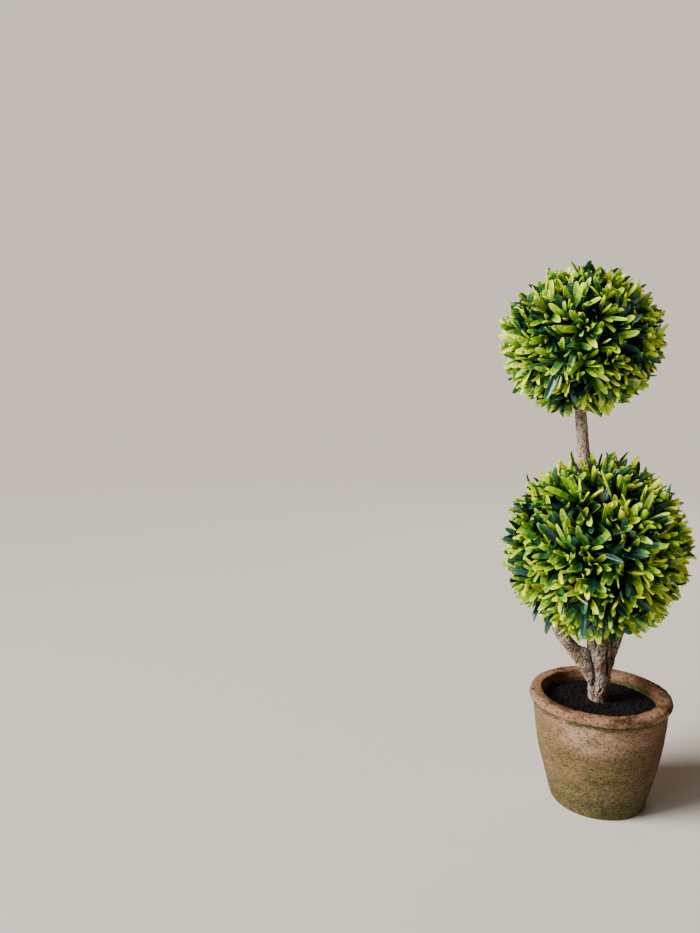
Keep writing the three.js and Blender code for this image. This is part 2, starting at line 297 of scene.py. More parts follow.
def closed_tube(rows, columns):
    """Faces of a grid of rows that closes on itself along its columns: its quads, and a fan of
    triangles at each end, to the two vertices that follow the grid's own."""
    row = np.arange(rows - 1)[:, None] * columns
    here = np.arange(columns)[None, :]
    after = (here + 1) % columns
    quads = np.stack([row + here, row + after, row + columns + after, row + columns + here], axis=-1)
    here, after = here[0], after[0]
    count = rows * columns
    far = count - columns
    start = np.stack([after, here, np.full(columns, count)], axis=-1)
    end = np.stack([far + here, far + after, np.full(columns, count + 1)], axis=-1)
    return [quads.reshape(-1, 4), np.concatenate([start, end])]


def tube_piece(name, points, ends, material, replaces=()):
    """A piece from a grid of points whose rows close on themselves, and a point for each end."""
    vertices = np.concatenate([points.reshape(-1, 3), ends])
    return new_piece(name, vertices, closed_tube(*points.shape[:2]), [material], replaces=replaces)


def repeated(faces, count, size):
    """The faces of a shape for each of its copies, when every copy has so many vertices."""
    shift = np.arange(count)[:, None, None] * size
    return [(part[None] + shift).reshape(-1, part.shape[1]) for part in faces]


def add_attribute(piece, name, values):
    """One number for each point of a tube's grid, which a material reads by name. The ends have 0."""
    padded = np.zeros(len(piece.data.vertices), np.float32)
    padded[:values.size] = values.ravel()
    attribute = piece.data.attributes.new(name, "FLOAT", "POINT")
    attribute.data.foreach_set("value", padded)


# Limbs

class Limb:
    """A smooth centre line through stations, with a radius that follows them."""

    def __init__(self, stations):
        table = np.array(stations, float) * MM
        self.points = table[:, :3]
        self.radii = table[:, 3]
        steps = np.sqrt(np.linalg.norm(np.diff(self.points, axis=0), axis=1))
        before = np.vstack([2 * self.points[0] - self.points[1], self.points[:-1]])
        after = np.vstack([self.points[1:], 2 * self.points[-1] - self.points[-2]])
        back = np.concatenate([[steps[0]], steps])[:, None]
        ahead = np.concatenate([steps, [steps[-1]]])[:, None]
        self.slopes = (
            (self.points - before) / back
            - (after - before) / (back + ahead)
            + (after - self.points) / ahead
        )
        self.steps = steps[:, None]

    def at(self, t):
        """Centre points and tangents: a cubic Hermite curve between stations, whose slopes are
        those of a centripetal Catmull-Rom spline."""
        t = np.asarray(t, float) * (len(self.points) - 1)
        i = np.minimum(t.astype(int), len(self.points) - 2)
        u = (t - i)[:, None]
        start, end = self.points[i], self.points[i + 1]
        out, into = self.slopes[i] * self.steps[i], self.slopes[i + 1] * self.steps[i]
        bend = 2 * start - 2 * end + out + into
        sag = 3 * (end - start) - 2 * out - into
        point = start + u * (out + u * (sag + u * bend))
        return point, unit(out + u * (2 * sag + u * 3 * bend))

    def radius(self, t):
        """The radius between stations, blended along straight lines."""
        return np.interp(np.asarray(t) * (len(self.radii) - 1), np.arange(len(self.radii)), self.radii)

    def samples(self, count=81):
        """Centre points and radii at even steps along the limb."""
        t = np.linspace(0, 1, count)
        return self.at(t)[0], self.radius(t)

    def gap_to(self, points):
        """How far each point lies outside the limb's plain surface, from the nearest of many samples."""
        nearest = np.full(points.shape[:-1], np.inf)
        for place, radius in zip(*self.samples(241)):
            nearest = np.minimum(nearest, np.linalg.norm(points - place, axis=-1) - radius)
        return nearest


def make_limbs():
    """The trunk and the left and the right bough."""
    return [Limb(stations) for stations in (TRUNK_STATIONS, LEFT_BOUGH_STATIONS, RIGHT_BOUGH_STATIONS)]


def bark_relief(plain, radius, settings):
    """Height of the bark over the plain limb, and how deep each point lies in a furrow, which darkens the
    bark's colour, partly as its own darker colour and partly as painted shade. Furrows run where a cloud
    crosses zero: long ones in a cloud stretched along the limb, wrinkles in a nearly even one. Lobes,
    knobs and fine grain are added."""
    bend = 0.6 * MM * rough(plain, 3 * MM, 2, seed=40)[..., None]
    long_way = plain * np.array([1, 1, 0.32]) + bend
    short_way = plain * np.array([1, 1, 0.8]) + 1.2 * bend
    lobes = cloud(plain * np.array([1, 1, 0.35]), 7 * MM, seed=5)
    open_cracks = smooth(0, 0.35, cloud(plain, 11 * MM, seed=31))
    furrow = (1 - smooth(0, 0.07, np.abs(cloud(long_way, 4.2 * MM, seed=3)))) * open_cracks
    ridge = 1 - np.abs(cloud(long_way, 2.4 * MM, seed=9))
    wrinkle = 1 - smooth(0, 0.2, np.abs(cloud(short_way, 2.3 * MM, seed=21)))
    fine = 1 - smooth(0, 0.3, np.abs(cloud(short_way, 1.15 * MM, seed=25)))
    knobs = scattered(plain, 11 * MM, 0.6, 3.6 * MM, seed=60)
    height = (
        0.07 * radius * lobes
        + settings.bark_height
        + settings.knob_height * knobs
        + settings.ridge_height * (ridge**2 - 0.6)
        - settings.furrow_depth * furrow
        - settings.wrinkle_depth * wrinkle
        - 0.24 * MM * fine
        + 0.18 * MM * rough(plain, 0.8 * MM, 2, seed=70)
    )
    # This depth darkens the bark's colour: partly its own darker colour and partly painted shade in the
    # furrows and wrinkles.
    depth = np.clip(0.55 * furrow + 0.36 * wrinkle + 0.22 * fine + 0.3 * (1 - ridge), 0, 1)
    return height, depth


class BarkSurface:
    """A limb's surface on a grid: its centre line, the way out of it, the radius, and how deep each point
    lies in a furrow, crack or seam, which darkens the bark partly as painted shade."""

    def __init__(self, limb, t, columns, settings):
        centre, tangent = limb.at(t)
        across = unit(np.cross(tangent, (0.0, -1.0, 0.0)))
        upward = np.cross(tangent, across)
        angle = full_turn(columns)[None, :]
        steps = np.linalg.norm(np.diff(centre, axis=0), axis=1)
        length = np.concatenate([[0], np.cumsum(steps)])[:, None]
        plain_radius = limb.radius(t)[:, None] + 0 * angle
        height, self.depth = bark_relief(round_axis(plain_radius, angle, length), plain_radius, settings)
        self.centre = centre[:, None]
        turn = angle[..., None]
        self.outward = np.cos(turn) * across[:, None] + np.sin(turn) * upward[:, None]
        self.radius = plain_radius + height

    def points(self):
        """The centre line plus the radius along the way out of it."""
        return self.centre + self.outward * self.radius[..., None]

    def add_knobs(self, knobs):
        """Each knob is a bulge of (1 - (d/r)^2)^2."""
        points = self.points()
        for *place, rise, reach in knobs:
            distance = np.linalg.norm(points - np.array(place) * MM, axis=-1) / (reach * MM)
            self.radius = self.radius + rise * MM * np.clip(1 - distance**2, 0, 1) ** 2

    def cut_cracks(self, cracks, crack_depth):
        """Cracks along broken lines round the limb and up it, from 0 at half the width to the full depth
        in the middle of each. A cloud bends them. They are also darkened to near black as painted shade."""
        points = self.points()
        bend = 0.9 * MM * cloud(points, 3 * MM, seed=75)
        turn = np.arctan2(self.outward[..., 0], -self.outward[..., 1]) + bend / self.radius
        here = np.stack([self.radius * turn, points[..., 2]], axis=-1)
        deepest = np.zeros(turn.shape)
        for half_width, line in cracks:
            corners = [
                np.stack([self.radius * np.radians(degrees), 0 * self.radius + height * MM], axis=-1)
                for degrees, height in line
            ]
            for start, end in zip(corners, corners[1:]):
                run = end - start
                share = np.clip(np.sum((here - start) * run, axis=-1) / np.sum(run * run, axis=-1), 0, 1)
                distance = np.linalg.norm(here - start - share[..., None] * run, axis=-1)
                deepest = np.maximum(deepest, 1 - smooth(0.25, 1, distance / (half_width * MM)))
        self.radius = self.radius - crack_depth * deepest
        # Painted shade: the cracks are darkened to near black.
        self.depth = np.maximum(self.depth, smooth(0.1, 0.7, deepest))

    def press_seams(self, neighbours):
        """Presses the surface in where it meets other limbs, and paints shade there, so that a dark line
        runs between them.
        """
        points = self.points()
        for neighbour in neighbours:
            seam = 1 - smooth(0, SEAM_HALF_WIDTH, np.abs(neighbour.gap_to(points)))
            self.radius = self.radius - SEAM_DEPTH * seam
            # Painted shade along the seam between the limbs.
            self.depth = np.maximum(self.depth, smooth(0.2, 0.9, seam))

    def make(self, name, bark, node):
        """The piece with its furrows, cracks and seams as an attribute, which darkens the bark: partly its
        own colour and partly painted shade.
        """
        ends = self.centre[[0, -1], 0]
        piece = tube_piece(name, self.points(), ends, bark, [node])
        add_attribute(piece, "furrow", self.depth)


# Leaves

LEAF_ROWS = np.array([0, 0.2, 0.42, 0.62, 0.8, 0.92, 0.98])
LEAF_THICKNESS = 1.2 * MM
# Round the blade's edge and back: share of the half width, and share of the thickness
BLADE_ACROSS = np.array([1, 0.5, 0, -0.5, -1, 0])
BLADE_UP = np.array([0.1, 0.9, -0.15, 0.9, 0.1, -0.95])
# The columns of the two long edges of the blade
BLADE_EDGES = (0, 4)

# How far sprigs are moved from even places and how far their axes lean, both as shares of a unit length
SPRIG_JITTER = 0.11
SPRIG_LEAN = 0.22
# From the innermost leaf of a sprig to the outermost: its angle from the sprig's axis in radians, and
# where its root lies, as a share of the ball's reach
SPREAD = (0.1, 1.02)
ROOT_SHARE = (0.68, 0.63)
# Standard deviations of what chance adds to a leaf: its turn round the sprig, spread, roll and twist
# in radians, its root as a share of the reach and its curl as a share of its length
CHANCE = {"turn": 0.3, "spread": 0.12, "roll": 0.4, "twist": 0.35, "root": 0.02, "curl": 0.11}
# Leaves with a rank below this are young, and this share of the sprigs has none of them
YOUNG_RANK = 0.3
BARE_SPRIGS = 0.55
# Share of the leaves that stray past the others, and the factor on their length
STRAY_SHARE = 0.06
STRAY_LENGTH = 1.15
# Leaves shorter than this share of a grown one are left out
SHORTEST = 0.4
# Leaves farther apart than this can't touch
NEIGHBOUR_REACH = 30 * MM
# Ranks where the middle and the outer leaves of a sprig begin, and how often an outer leaf has the
# colour of its whole sprig
ZONES = (0.26, 0.62)
SAME_COLOUR = 0.3


def leaf_half_width(t):
    """Share of the leaf's half width along its length: it widens from a narrow root to its middle
    and ends in a round tip, one less a power of the way to it, raised to a power of about a half."""
    widening = mix(0.46, 1, smooth(-0.1, 0.55, t))
    tip = np.clip(1 - np.clip((t - 0.7) / 0.3, 0, 1) ** 2.4, 0, 1) ** 0.56
    return widening * tip


def leaf_mesh(leaves):
    """Vertices and faces of all leaves at once. A leaf's middle line is a parabola from its root,
    bent towards its upper side, and each row across it is a shallow V with a thin edge, a groove
    along the middle and a ridge below."""
    t = LEAF_ROWS[None, :, None]
    root, along, up = (leaves[name][:, None] for name in ("root", "along", "up"))
    length, width, curl, twist, fold = (
        leaves[name][:, None, None] for name in ("length", "width", "curl", "twist", "fold")
    )
    spine = root + length * (t * along + curl * t**2 * up)
    tangent = unit(along + 2 * curl * t * up)
    side = np.cross(up, along) + 0 * tangent
    raised = np.cross(tangent, side)
    across = side * np.cos(twist * t) + raised * np.sin(twist * t)
    upward = raised * np.cos(twist * t) - side * np.sin(twist * t)

    half_share = leaf_half_width(LEAF_ROWS)[None, :, None]
    half = width / 2 * half_share
    thickness = LEAF_THICKNESS * (0.4 + 0.6 * half_share)
    rise = fold * half * np.abs(BLADE_ACROSS) + thickness * BLADE_UP / 2
    points = (
        spine[:, :, None]
        + (half * BLADE_ACROSS)[..., None] * across[:, :, None]
        + rise[..., None] * upward[:, :, None]
    )
    tip = root + length * (along + curl * up)
    count, rows, ring = points.shape[:3]
    vertices = np.concatenate([points.reshape(count, -1, 3), spine[:, :1], tip], axis=1)
    faces = repeated(closed_tube(rows, ring), count, vertices.shape[1])
    tint = leaves["tint"][:, None] * rows
    body_band = np.repeat(np.arange(rows - 1), ring)
    end_band = np.repeat([0, rows - 1], ring)
    return vertices, faces, np.concatenate([(tint + body_band).ravel(), (tint + end_band).ravel()])


def sharpen_blades(piece):
    """Marks the two long edges of every leaf as sharp, so that each side is shaded by itself."""
    mesh = piece.data
    ring = len(BLADE_ACROSS)
    grid = ring * len(LEAF_ROWS)
    ends = np.zeros(len(mesh.edges) * 2, np.int32)
    mesh.edges.foreach_get("vertices", ends)
    place = ends.reshape(-1, 2) % (grid + 2)
    on_grid = np.all(place < grid, axis=1)
    column = place % ring
    lengthwise = np.isin(column[:, 0], BLADE_EDGES) & (column[:, 0] == column[:, 1])
    sharp = mesh.attributes.new("sharp_edge", "BOOLEAN", "EDGE")
    sharp.data.foreach_set("value", on_grid & lengthwise)


class Ball:
    """A clipped ball: leaf tips stay inside its reach, an ellipsoid round its centre."""

    def __init__(self, centre, reach, seed):
        self.centre = np.array(centre) * MM
        self.reach = np.array(reach) * MM
        self.seed = seed

    def place(self, aim, share):
        """The centre plus a share of the reach along a direction."""
        return self.centre + aim * self.reach * share

    def room(self, root, direction, share):
        """How far a straight leaf runs from its root before its tip is at a share of the reach: the
        larger root of the quadratic for a line and an ellipsoid."""
        start = (root - self.centre) / self.reach
        step = direction / self.reach
        a = np.sum(step * step, axis=-1)
        b = np.sum(start * step, axis=-1)
        c = np.sum(start * start, axis=-1) - share**2
        return (-b + np.sqrt(np.maximum(b * b - a * c, 0))) / a


def sprig_frames(count, random):
    """Directions of the sprigs from the ball's centre, spread evenly in a golden spiral and each
    moved a little, then their leaning axes, each with two unit vectors square to it."""
    index = np.arange(count)
    height = 1 - 2 * index / (count - 1)
    aim = round_axis(np.sqrt(1 - height**2), index * GOLDEN_ANGLE, height)
    aim = unit(aim + SPRIG_JITTER * (random.random((count, 3)) - 0.5))
    side, other = square_to(aim)
    lean = SPRIG_LEAN * random.standard_normal((count, 2))
    axis = unit(aim + lean[:, :1] * side + lean[:, 1:] * other)
    side = unit(np.cross(axis, np.cross(side, axis)))
    return aim, axis, side, np.cross(axis, side)


def leaf_frames(ball, sprigs, rank, random):
    """Root, direction and upper side of each leaf. Going outwards, the leaves of a sprig turn by the
    golden angle, spread wider and start lower."""
    aim, axis, side, other = (vectors[:, None] for vectors in sprigs)
    count, per_sprig = rank.shape
    turn = 2 * np.pi * random.random((count, 1)) + GOLDEN_ANGLE * np.arange(per_sprig)
    turn = turn + CHANCE["turn"] * random.standard_normal(rank.shape)
    spread = mix(*SPREAD, rank**0.85) + CHANCE["spread"] * random.standard_normal(rank.shape)
    root_share = mix(*ROOT_SHARE, rank) + CHANCE["root"] * random.standard_normal((count, 1))
    roll = CHANCE["roll"] * random.standard_normal((*rank.shape, 1))

    turn, spread = turn[..., None], spread[..., None]
    sideways = np.cos(turn) * side + np.sin(turn) * other
    along = np.cos(spread) * axis + np.sin(spread) * sideways
    up = np.cos(spread) * -sideways + np.sin(spread) * axis
    up = up * np.cos(roll) + np.cross(along, up) * np.sin(roll)
    return ball.place(aim, root_share[..., None]), along, up


def deal(random, rank):
    """A leaf family for each rank: inner, middle and outer leaves have their own odds, which make the
    deeper outer leaves darker, partly as painted shade.
    """
    steps = np.cumsum(np.array(LEAF_CHANCES), axis=1)[np.digitize(rank, ZONES)]
    return np.sum(random.random(rank.shape)[..., None] > steps, axis=-1)


def draw_leaves(ball, sprigs, settings, random):
    """All leaves that a ball could have, as arrays by name. Rank runs from 0 in the middle of a sprig
    to 1 at its outside. A leaf is cut short where its tip reaches the surface of the ball, and
    strays go a little past it above and below."""
    per_sprig = settings.leaves_per_sprig
    shape = (len(sprigs[0]), per_sprig)
    rank = np.broadcast_to((np.arange(per_sprig) / (per_sprig - 1)) ** 0.75, shape)
    root, along, up = leaf_frames(ball, sprigs, rank, random)

    young = rank < YOUNG_RANK
    bare_centre = random.random((len(sprigs[0]), 1)) < BARE_SPRIGS
    full = settings.leaf_length * (0.84 + 0.34 * random.random(shape))
    wanted = np.where(young, mix(0.65, 0.95, random.random(shape)), 1) * full
    curl = CHANCE["curl"] * random.standard_normal(shape) - 0.05 * rank
    stray = random.random(shape) < STRAY_SHARE
    depth = 1 - 0.11 * random.random(shape) ** 1.3
    depth = np.where(stray, 1 + 0.08 * along[..., 2] ** 2, depth)
    length = np.minimum(wanted * np.where(stray, STRAY_LENGTH, 1), ball.room(root, along, depth) * 0.99)

    # Partly painted shade: the outer, deeper leaves of each sprig are dealt darker families.
    tint = deal(random, rank)
    sprig_tint = deal(random, rank[:, :1] + 0.5)
    tint = np.where((random.random(shape) < SAME_COLOUR) & ~young, sprig_tint, tint)
    width = settings.leaf_width * (0.8 + 0.42 * random.random(shape))
    leaves = {
        "root": root,
        "along": along,
        "up": up,
        "length": length,
        "width": width * mix(0.55, 1, np.clip(1.05 * length / settings.leaf_length, 0, 1)),
        "curl": curl,
        "twist": CHANCE["twist"] * random.standard_normal(shape),
        "fold": 0.22 + 0.4 * random.random(shape),
        "tint": tint,
        "rank": rank,
        "grown": ~(young & bare_centre) & (length > SHORTEST * settings.leaf_length),
    }
    return {name: value.reshape(-1, *value.shape[2:]) for name, value in leaves.items()}


def clear_of_limbs(start, end, limbs, margin):
    """Whether each straight run between two points keeps a margin to every sample of the limbs."""
    run = end - start
    clear = np.ones(len(start), bool)
    for limb in limbs:
        centre, radius = limb.samples()
        offset = centre[None] - start[:, None]
        share = np.sum(offset * run[:, None], axis=-1) / np.sum(run * run, axis=-1)[:, None]
        nearest = start[:, None] + np.clip(share, 0, 1)[..., None] * run[:, None]
        distance = np.linalg.norm(nearest - centre[None], axis=-1)
        clear &= np.all(distance > radius[None] + margin, axis=1)
    return clear


def keep_apart(points, clearance):
    """Which leaves stay, taken in order: one goes if any of its points lies too near a point of one
    that stays."""
    stays = np.zeros(len(points), bool)
    for i, own in enumerate(points):
        others = points[:i][stays[:i]].reshape(-1, 3)
        near = others[np.linalg.norm(others - own.mean(axis=0), axis=1) < NEIGHBOUR_REACH]
        gaps = np.linalg.norm(near[:, None] - own[None], axis=-1)
        stays[i] = gaps.size == 0 or gaps.min() > clearance
    return stays


def grow_leaves(ball, sprigs, settings, limbs, random):
    """The leaves that stay: clear of the limbs, and apart from each other in their outer halves.
    The inner leaves of the sprigs mostly come first."""
    leaves = draw_leaves(ball, sprigs, settings, random)
    run = leaves["along"] * leaves["length"][:, None]
    keep = leaves.pop("grown")
    keep &= clear_of_limbs(leaves["root"], leaves["root"] + run, limbs, settings.leaf_width * 0.45)
    order = np.argsort(0.8 * leaves["rank"] + random.random(len(keep)))
    order = order[keep[order]]
    outer = leaves["root"][:, None] + np.linspace(0.5, 1, 6)[None, :, None] * run[:, None]
    order = order[keep_apart(outer[order], settings.leaf_clearance)]
    return {name: value[order] for name, value in leaves.items()}


def twig_mesh(start, end, radius, sides=6):
    """Straight tapering twigs: three rings of points along each, and a blunt point past the last."""
    along = unit(end - start)
    side, other = square_to(along)
    angle = full_turn(sides)[None, :, None]
    ring = np.cos(angle) * side[:, None] + np.sin(angle) * other[:, None]
    rows = mix(start[:, None], end[:, None], np.array([0, 0.5, 1])[None, :, None])
    sizes = radius * np.array([1.25, 1, 0.7])
    points = rows[:, :, None] + sizes[None, :, None, None] * ring[:, None]
    ends = np.stack([start, end + along * radius], axis=1)
    vertices = np.concatenate([points.reshape(len(start), -1, 3), ends], axis=1)
    return vertices, repeated(closed_tube(len(sizes), sides), len(start), vertices.shape[1])


def make_core(name, ball, material, rows=90, columns=180):
    """The foam core, coloured near black as painted shade deep in the ball: a sphere on a grid of rings,
    scaled to the ball and made lumpy by a cloud.
    """
    polar = np.linspace(0, np.pi, rows + 1)[1:-1, None]
    direction = round_axis(np.sin(polar), full_turn(columns)[None, :], -np.cos(polar))
    points = ball.place(direction, CORE_SHARE)
    points = points + direction * (1.2 * MM * rough(points, 5 * MM, 3, seed=80))[..., None]
    poles = ball.place(np.array([[0, 0, -1.0], [0, 0, 1.0]]), CORE_SHARE)
    return tube_piece(name, points, poles, material)


# Materials

def plain_material(name, colour, roughness, **sockets):
    """A Principled material with the same colour all over."""
    material = bpy.data.materials.new(name)
    material.use_nodes = True
    values = {"Base Color": (*colour, 1), "Roughness": roughness, **sockets}
    for socket, value in values.items():
        material.node_tree.nodes["Principled BSDF"].inputs[socket].default_value = value
    return material


NOISE_INPUTS = ("Scale", "Detail", "Shift", "Low", "High", "Stretch")


class Tree:
    """Adds nodes to a node tree and wires them by socket name."""

    def __init__(self, tree):
        self.nodes = tree.nodes
        self.links = tree.links

    def add(self, kind, wires=None, settings=None, **values):
        node = self.nodes.new(kind)
        for key, value in (settings or {}).items():
            setattr(node, key, value)
        for key, value in values.items():
            node.inputs[key].default_value = value
        for key, source in (wires or {}).items():
            self.links.new(source, node.inputs[key])
        return node

    def place(self):
        """The object's own coordinates."""
        return self.add("ShaderNodeTexCoord").outputs["Object"]

    def attribute(self, name):
        """A number for each vertex, by its name."""
        return self.add("ShaderNodeAttribute", settings={"attribute_name": name}).outputs["Fac"]

    def stretched(self, place, stretch):
        """Coordinates whose height is multiplied by a number or a socket, which makes spots wider
        than they are tall."""
        split = self.add("ShaderNodeSeparateXYZ", {"Vector": place}).outputs
        height = self.times(split["Z"], stretch)
        return self.add("ShaderNodeCombineXYZ", {"X": split["X"], "Y": split["Y"], "Z": height}).outputs[0]

    def arithmetic(self, operation, first, second=0):
        """Arithmetic on two values, each a socket or a number."""
        node = self.add("ShaderNodeMath", settings={"operation": operation})
        for socket, value in zip(node.inputs, (first, second)):
            if isinstance(value, (int, float)):
                socket.default_value = value
            else:
                self.links.new(value, socket)
        return node.outputs[0]

    def times(self, first, second):
        return self.arithmetic("MULTIPLY", first, second)

    def larger(self, first, second):
        return self.arithmetic("MAXIMUM", first, second)

    def minus(self, first, second):
        return self.arithmetic("SUBTRACT", first, second)

    def inverse(self, value):
        """One less the value."""
        return self.minus(1, value)

    def mask(self, source, low, high):
        """0 below low and 1 above high of a value, or the other way round where low is the higher."""
        node = self.add(
            "ShaderNodeMapRange", {"Value": source}, {"interpolation_type": "SMOOTHSTEP"},
            **{"From Min": low, "From Max": high},
        )
        return node.outputs["Result"]

    def near(self, place, point, inner, outer):
        """1 within the inner distance of a point and 0 beyond the outer one."""
        node = self.add("ShaderNodeVectorMath", {0: place}, {"operation": "DISTANCE"})
        node.inputs[1].default_value = point
        return self.inverse(self.mask(node.outputs["Value"], inner, outer))

    def tint(self, share, under, over):
        """A colour laid over another by a mask. Each colour is a socket or a plain colour."""
        node = self.add("ShaderNodeMix", settings={"data_type": "RGBA"})
        self.links.new(share, node.inputs[0])
        for socket, colour in ((node.inputs[6], under), (node.inputs[7], over)):
            if isinstance(colour, bpy.types.NodeSocket):
                self.links.new(colour, socket)
            else:
                socket.default_value = (*colour, 1)
        return node.outputs[2]

    def noise(self, scale, low, high, shift=0, detail=4, stretch=1, output="Mask"):
        """The shared noise mask: 0 where the noise is below low and 1 where it is above high. The
        scale is in cells for each metre, and the shift moves to another pattern."""
        values = dict(zip(NOISE_INPUTS, (scale, detail, shift, low, high, stretch)))
        return self.add("ShaderNodeGroup", None, {"node_tree": noise_group()}, **values).outputs[output]

    def grain(self, scale, shift, detail=4, stretch=1):
        """The shared noise as it is, for a Bump node."""
        return self.noise(scale, 0, 1, shift, detail, stretch, "Value")

    def bump(self, shader, heights):
        """One Bump node for each height, distance and strength, in a chain that feeds the normal."""
        normal = {}
        for height, distance, strength in heights:
            wires = {"Height": height, **normal}
            node = self.add("ShaderNodeBump", wires, Strength=strength, Distance=distance)
            normal = {"Normal": node.outputs["Normal"]}
        self.links.new(normal["Normal"], shader.inputs["Normal"])


def noise_group():
    """Node group: a noise mask over the object's own coordinates, 0 below Low and 1 above High. Heights
    are multiplied by Stretch first."""
    found = bpy.data.node_groups.get("Noise mask")
    if found:
        return found
    group = bpy.data.node_groups.new("Noise mask", "ShaderNodeTree")
    for name in NOISE_INPUTS:
        group.interface.new_socket(name, in_out="INPUT", socket_type="NodeSocketFloat")
    for name in ("Mask", "Value"):
        group.interface.new_socket(name, in_out="OUTPUT", socket_type="NodeSocketFloat")
    tree = Tree(group)
    inputs = tree.add("NodeGroupInput").outputs
    place = tree.stretched(tree.place(), inputs["Stretch"])
    wires = {"Vector": place, "Scale": inputs["Scale"], "Detail": inputs["Detail"], "W": inputs["Shift"]}
    noise = tree.add("ShaderNodeTexNoise", wires, {"noise_dimensions": "4D"}).outputs["Fac"]
    wires = {"Value": noise, "From Min": inputs["Low"], "From Max": inputs["High"]}
    masked = tree.add("ShaderNodeMapRange", wires, {"interpolation_type": "SMOOTHSTEP"})
    tree.add("NodeGroupOutput", {"Mask": masked.outputs["Result"], "Value": noise})
    return group


def new_tree(name):
    """A material with nodes, its tree and its Principled shader."""
    material = bpy.data.materials.new(name)
    material.use_nodes = True
    return material, Tree(material.node_tree), material.node_tree.nodes["Principled BSDF"]


# Middle of the chalky bloom on the wall and of the green smear, and how often the height counts there
BLOOM_STRETCH = 2.6
BLOOM_PLACE = (-0.02, -0.05, BLOOM_STRETCH * 0.0745)
SMEAR_STRETCH = 3.2
SMEAR_PLACE = (-0.012, -0.047, SMEAR_STRETCH * 0.037)
# Middle of the dark brown patches on the right of the rim, and of the right side of the wall, which is
# darker brown partly from dirt and partly as painted shade
DARK_RIM_PLACE = (0.05, 0.004, 0.092)
BROWN_SHADE_PLACE = (0.052, -0.018, 0.04)


def clay_bloom(tree, place, high):
    """Chalky bloom: a large patch high on the wall, in front of it, and wisps all round."""
    patch = tree.near(tree.stretched(place, BLOOM_STRETCH), BLOOM_PLACE, 12 * MM, 46 * MM)
    patch = tree.times(patch, tree.noise(55, 0.34, 0.6, shift=11, detail=6, stretch=1.7))
    wisps = tree.times(tree.noise(34, 0.54, 0.7, shift=7, detail=6, stretch=1.6), high)
    return tree.larger(patch, wisps)


def clay_wall(tree, place, bloom, high, settings):
    """Olive tan wall with sandy and pink patches, its bloom and a dark brown right side, partly brown dirt
    and partly painted shade.
    """
    body = tree.tint(tree.noise(26, 0.33, 0.6, stretch=1.7), settings.clay, settings.olive)
    sandy = tree.times(tree.noise(105, 0.42, 0.66, shift=3, stretch=2), 0.55)
    body = tree.tint(sandy, body, settings.sand)
    pink = tree.times(tree.noise(24, 0.4, 0.62, shift=9, detail=5, stretch=1.5), high)
    body = tree.tint(tree.times(pink, 0.75), body, settings.salmon)
    body = tree.tint(tree.times(bloom, 0.7), body, settings.bloom)
    # Partly painted shade: the right side of the wall, away from the light, is made dark brown; partly
    # brown dirt as well.
    brown = tree.near(place, BROWN_SHADE_PLACE, 24 * MM, 70 * MM)
    brown = tree.times(brown, tree.noise(30, 0.14, 0.5, shift=59, detail=5, stretch=1.5))
    return tree.tint(tree.times(brown, 0.9), body, settings.umber)


def clay_rim(tree, place, settings):
    """Redder rim with dark patches, most of them on the right."""
    body = tree.tint(tree.noise(60, 0.35, 0.65, shift=5), settings.rim, settings.salmon)
    body = tree.tint(tree.noise(48, 0.51, 0.62, shift=6, detail=6), body, settings.umber)
    dark_side = tree.near(place, DARK_RIM_PLACE, 8 * MM, 34 * MM)
    dark_side = tree.times(dark_side, tree.noise(75, 0.32, 0.5, shift=57, detail=6))
    return tree.tint(dark_side, body, settings.umber)


def clay_green(tree, place, height):
    """Where algae grow: in the groove, low on the wall, in a smear at the front and in streaks."""
    level = tree.arithmetic("ADD", height, tree.times(tree.noise(70, 0.2, 0.8, shift=23), 3 * MM))
    from_groove = tree.arithmetic("ABSOLUTE", tree.minus(level, GROOVE_HEIGHT + 0.4 * MM))
    groove = tree.inverse(tree.mask(from_groove, 1.1 * MM, 2.8 * MM))
    groove = tree.times(groove, tree.noise(60, 0.26, 0.46, shift=21))
    foot = tree.inverse(tree.mask(height, 4 * MM, 44 * MM))
    foot = tree.times(foot, tree.noise(55, 0.31, 0.55, shift=25, stretch=2))
    smear = tree.near(tree.stretched(place, SMEAR_STRETCH), SMEAR_PLACE, 6 * MM, 20 * MM)
    smear = tree.times(smear, tree.noise(120, 0.34, 0.56, shift=33, detail=5, stretch=2.4))
    streak = tree.mask(height, 66 * MM, 30 * MM)
    streak = tree.times(tree.noise(34, 0.58, 0.7, shift=31, detail=5, stretch=2), streak)
    return tree.larger(tree.larger(groove, smear), tree.larger(foot, streak))


